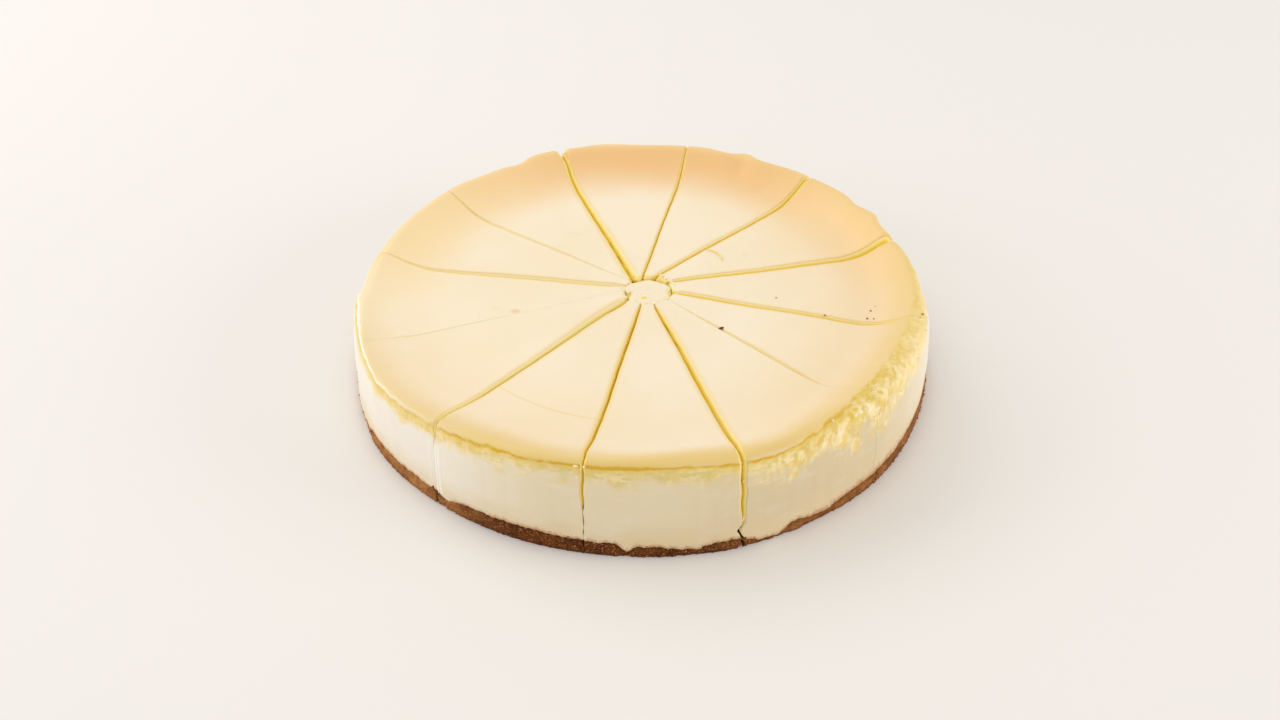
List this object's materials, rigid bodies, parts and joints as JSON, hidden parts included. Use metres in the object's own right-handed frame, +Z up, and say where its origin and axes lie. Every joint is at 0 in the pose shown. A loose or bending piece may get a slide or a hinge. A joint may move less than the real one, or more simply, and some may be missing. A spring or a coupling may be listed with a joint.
{
  "type": "baked cheesecake",
  "caption": "Round baked cheesecake with a dished top and a raised rounded lip, cut into wedges around a small plug at its hub, each on its pressed crumb base.",
  "frame": {"origin": "centre of the underside of the crumb base, on the surface the cake stands on", "axes": "+Z up through the cake's axis; -Y towards the side with the two widest cuts"},
  "size_m": [0.2421, 0.2416, 0.0434],
  "materials": {
    "filling": "satin",
    "crumb_base": "matt"
  },
  "bodies": {
    "root": {"filling_slice_01": "filling", "filling_slice_02": "filling", "filling_slice_03": "filling", "filling_slice_04": "filling", "filling_slice_05": "filling", "filling_slice_06": "filling", "filling_slice_07": "filling", "filling_slice_08": "filling", "filling_slice_09": "filling", "filling_slice_10": "filling", "filling_slice_11": "filling", "filling_slice_12": "filling", "filling_plug": "filling", "base_slice_01": "crumb_base", "base_slice_02": "crumb_base", "base_slice_03": "crumb_base", "base_slice_04": "crumb_base", "base_slice_05": "crumb_base", "base_slice_06": "crumb_base", "base_slice_07": "crumb_base", "base_slice_08": "crumb_base", "base_slice_09": "crumb_base", "base_slice_10": "crumb_base", "base_slice_11": "crumb_base", "base_slice_12": "crumb_base", "base_plug": "crumb_base"}
  },
  "joints": []
}
